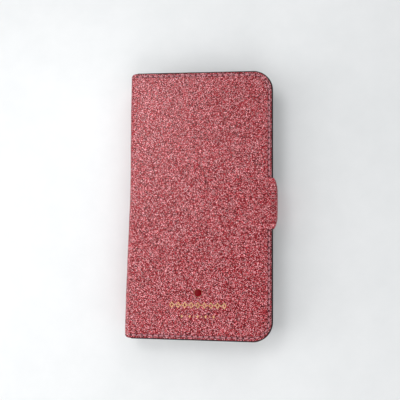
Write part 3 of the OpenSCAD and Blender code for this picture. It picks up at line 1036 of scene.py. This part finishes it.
for node, mat in (("phone_shell", SHELL), ("catch_plate", STEEL), ("strap_magnets", NICKEL),
                  ("shell_adhesive", TAPE), ("strap_end_core", BOARD_CAD)):
    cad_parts[node].data.materials.clear()
    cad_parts[node].data.materials.append(mat)
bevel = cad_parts["phone_shell"].modifiers.new("edge_rounding", "BEVEL")
bevel.width = 0.22 * MM
bevel.segments = 2
bevel.limit_method = "ANGLE"
bevel.angle_limit = math.radians(40)


def window_outline(grow):
    """The camera window's outline, grown by so many mm, as (x, y) points."""
    cx, cy, w, l, r = WINDOW
    r, hw, hl = r + grow, w / 2 + grow, l / 2 + grow
    out = []
    for sx, sy, start in ((1, 1, 90), (1, -1, 0), (-1, -1, -90), (-1, 1, 180)):
        mid = np.array([cx + sx * (hw - r), cy + sy * (hl - r)])
        for a in np.radians(np.linspace(start, start - 90, 9)):
            out.append(mid + r * np.array([math.cos(a), math.sin(a)]))
    return np.array(out)[::-1]


def window_ring(grow, z):
    ring = window_outline(grow)
    return np.column_stack([ring, np.full(len(ring), z)])


def ring_piece(name, section, mat):
    """A closed ring round the camera window, from (grow, z) pairs."""
    loops = [window_ring(grow, z) for grow, z in section]
    faces = ring_faces(len(loops), len(loops[0]), closed=True)
    return new_object(name, loops, faces, [mat], crease=50)


def cut_window(obj, grow):
    """Cuts the camera window through a back layer."""
    loops = [window_ring(grow, z) for z in (BACK_Z - 3, BACK_Z + 6)]
    n = len(loops[0])
    faces = ring_faces(2, n) + [cap(0, n, True), cap(n, n)]
    cutter = new_object("cutter", loops, faces, [PAINT])
    cut = obj.modifiers.new("window", "BOOLEAN")
    cut.operation = "DIFFERENCE"
    cut.solver = "EXACT"
    cut.object = cutter
    cut.material_mode = "TRANSFER"
    depsgraph = bpy.context.evaluated_depsgraph_get()
    mesh = bpy.data.meshes.new_from_object(
        obj.evaluated_get(depsgraph), depsgraph=depsgraph, preserve_all_data_layers=True)
    obj.modifiers.remove(cut)
    old = obj.data
    obj.data = mesh
    bpy.data.meshes.remove(old)
    bpy.data.objects.remove(cutter)


for layer in (skin_back, board_back, lining_back):
    cut_window(layer, 0.35)
paint_section = [(0.75, 0.02), (0.45, -0.05), (0.18, 0.15), (0.02, 0.8), (0.05, 1.9), (0.3, 2.38),
                 (0.7, 2.4), (0.9, 1.2)]
window_paint = ring_piece("window_edge_paint", [(g, BACK_Z + z) for g, z in paint_section], PAINT)
cavity_z = box("phone_shell")[0][2] + 1.2
rim_section = [(0.0, -0.6), (0.0, 0.12), (0.18, 0.3), (0.7, 0.34), (1.1, 0.2), (1.35, -0.02),
               (1.2, -0.6)]
window_rim = ring_piece("camera_rim", [(g, cavity_z + z) for g, z in rim_section], RIM)


# ---- what each piece rides on ----

def stand_for(obj, slot_name, *nodes):
    if nodes:
        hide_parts(*nodes)
    return obj


def over(obj, a, start, end):
    """Bakes obj's transform into its mesh; start and end are (x, z) in mm."""
    start, end = [(x * MM, 0, z * MM) for x, z in (start, end)]
    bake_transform(obj)
    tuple(start)
    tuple(end)


FRONT, BACK = "front_cover", "back_cover"
skin_mid = SKIN_T / 2
for obj, cover, z, up in ((skin_front, FRONT, TOP_Z, 1), (skin_back, BACK, BACK_Z, -1)):
    over(obj, cover, (LEFT_X + ROLL_R, z - up * skin_mid),
         (LEFT_X + skin_mid, z - up * ROLL_R))
for obj, cover, z, up in ((lining_front, FRONT, TOP_Z, 1), (lining_back, BACK, BACK_Z, -1)):
    over(obj, cover, (LEFT_X + ROLL_R + 1.2, z - up * 2.15),
         (LEFT_X + 1.85, z - up * (ROLL_R + 1.2)))
for obj in (strap_skin_upper, strap_lining_upper):
    over(obj, FRONT, (EDGE_X + 0.1, TOP_Z - 0.2),
         (STRAP_X - 0.2, TOP_Z - TOP_BEND_R))
for obj in (strap_skin_lower, strap_lining_lower):
    over(obj, "strap_side", (STRAP_X - 0.6, LOW_BEND_R), (STRAP_X - LOW_BEND_R, 0.6))

stand_for(skin_front, "glitter_skin", "front_skin", "spine_skin")
stand_for(skin_back, "glitter_skin", "back_skin", "spine_skin")
stand_for(lining_front, "dark_lining", "front_lining", "spine_lining")
stand_for(lining_back, "dark_lining", "back_lining", "spine_lining")
stand_for(strap_skin_upper, "glitter_skin", "strap_side_skin")
stand_for(strap_skin_lower, "glitter_skin", "strap_side_skin", "strap_end_skin")
stand_for(strap_lining_upper, "dark_lining", "strap_side_lining")
stand_for(strap_lining_lower, "dark_lining", "strap_side_lining", "strap_end_lining")

for obj, body, slot_name, *nodes in (
        (board_front, FRONT, "stiff_board", "front_board"),
        (board_back, BACK, "stiff_board", "back_board"),
        (board_spine, "spine", "stiff_board", "spine_board"),
        (edge_front, FRONT, "edge_paint"),
        (edge_back, BACK, "edge_paint"),
        (thread_front, FRONT, "seam_thread", "front_seam_thread"),
        (thread_back, BACK, "seam_thread", "back_seam_thread"),
        (shade_discs_front, FRONT, "seam_thread"),
        (shade_discs_back, BACK, "seam_thread"),
        (cash, FRONT, "pocket_leather", "cash_pocket"),
        *[(card, FRONT, "pocket_leather", f"card_pocket_{i}")
          for i, card in enumerate(cards, 1)],
        (thread_pocket, FRONT, "pocket_thread", "pocket_thread"),
        (thread_strap, "strap_side", "seam_thread", "strap_side_thread"),
        (thread_strap_end, "strap_end", "seam_thread", "strap_end_thread"),
        (rim_piece, FRONT, "gold_metal", "stud_rim"),
        (enamel_piece, FRONT, "red_enamel", "stud_enamel"),
        (foil_upper, FRONT, "gold_metal"),
        (foil_lower, FRONT, "gold_metal"),
        (window_paint, BACK, "edge_paint"),
        (window_rim, BACK, "moulded_shell")):
    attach(stand_for(obj, slot_name, *nodes), body)


# ---- floor and light ----

# The floor, tilted a little to touch the back cover's spine edge and the strap's end
floor_half = 1500.0
tilt = BACK_Z / (STRAP_END_X - LEFT_X)
corners = [(x * floor_half, y * floor_half, (STRAP_END_X - x * floor_half) * tilt)
           for x, y in ((-1, -1), (1, -1), (1, 1), (-1, 1))]
floor_mat = plain_material("floor", (0.765, 0.78, 0.785), (0.825, 0.835, 0.84), 0.4, 60, 0.02)
new_object("floor", [np.array(corners)], [(0, 1, 2, 3)], [floor_mat])

# Each light's place and size in metres, and its watts; all face the origin
LIGHTS = {
    "window": ((-0.13, 0.155, 0.42), 0.18, 0.57),
    "key": ((-0.17, -0.08, 0.42), 0.22, 0.23),
    "side": ((-0.5, -0.1, 0.35), 0.4, 1.75),
    "fill": ((0.6, -0.25, 0.5), 0.5, 1.15),
    "front": ((0.1, -0.65, 0.5), 0.5, 2.25),
    "back": ((0.25, 0.65, 0.5), 0.5, 1.6)}
for name, (at, size, watts) in LIGHTS.items():
    data = bpy.data.lights.new(name, "AREA")
    data.shape = "SQUARE"
    data.size = size
    data.energy = watts
    light = in_scene(name, data)
    light.location = at
    light.rotation_euler = (-Vector(at)).to_track_quat("-Z", "Y").to_euler()

world = bpy.data.worlds.new("studio")
world.use_nodes = True
background = world.node_tree.nodes["Background"]
background.inputs["Color"].default_value = (0.95, 0.97, 1.0, 1)
background.inputs["Strength"].default_value = 0.2
scene.world = world
scene.view_settings.view_transform = "Standard"
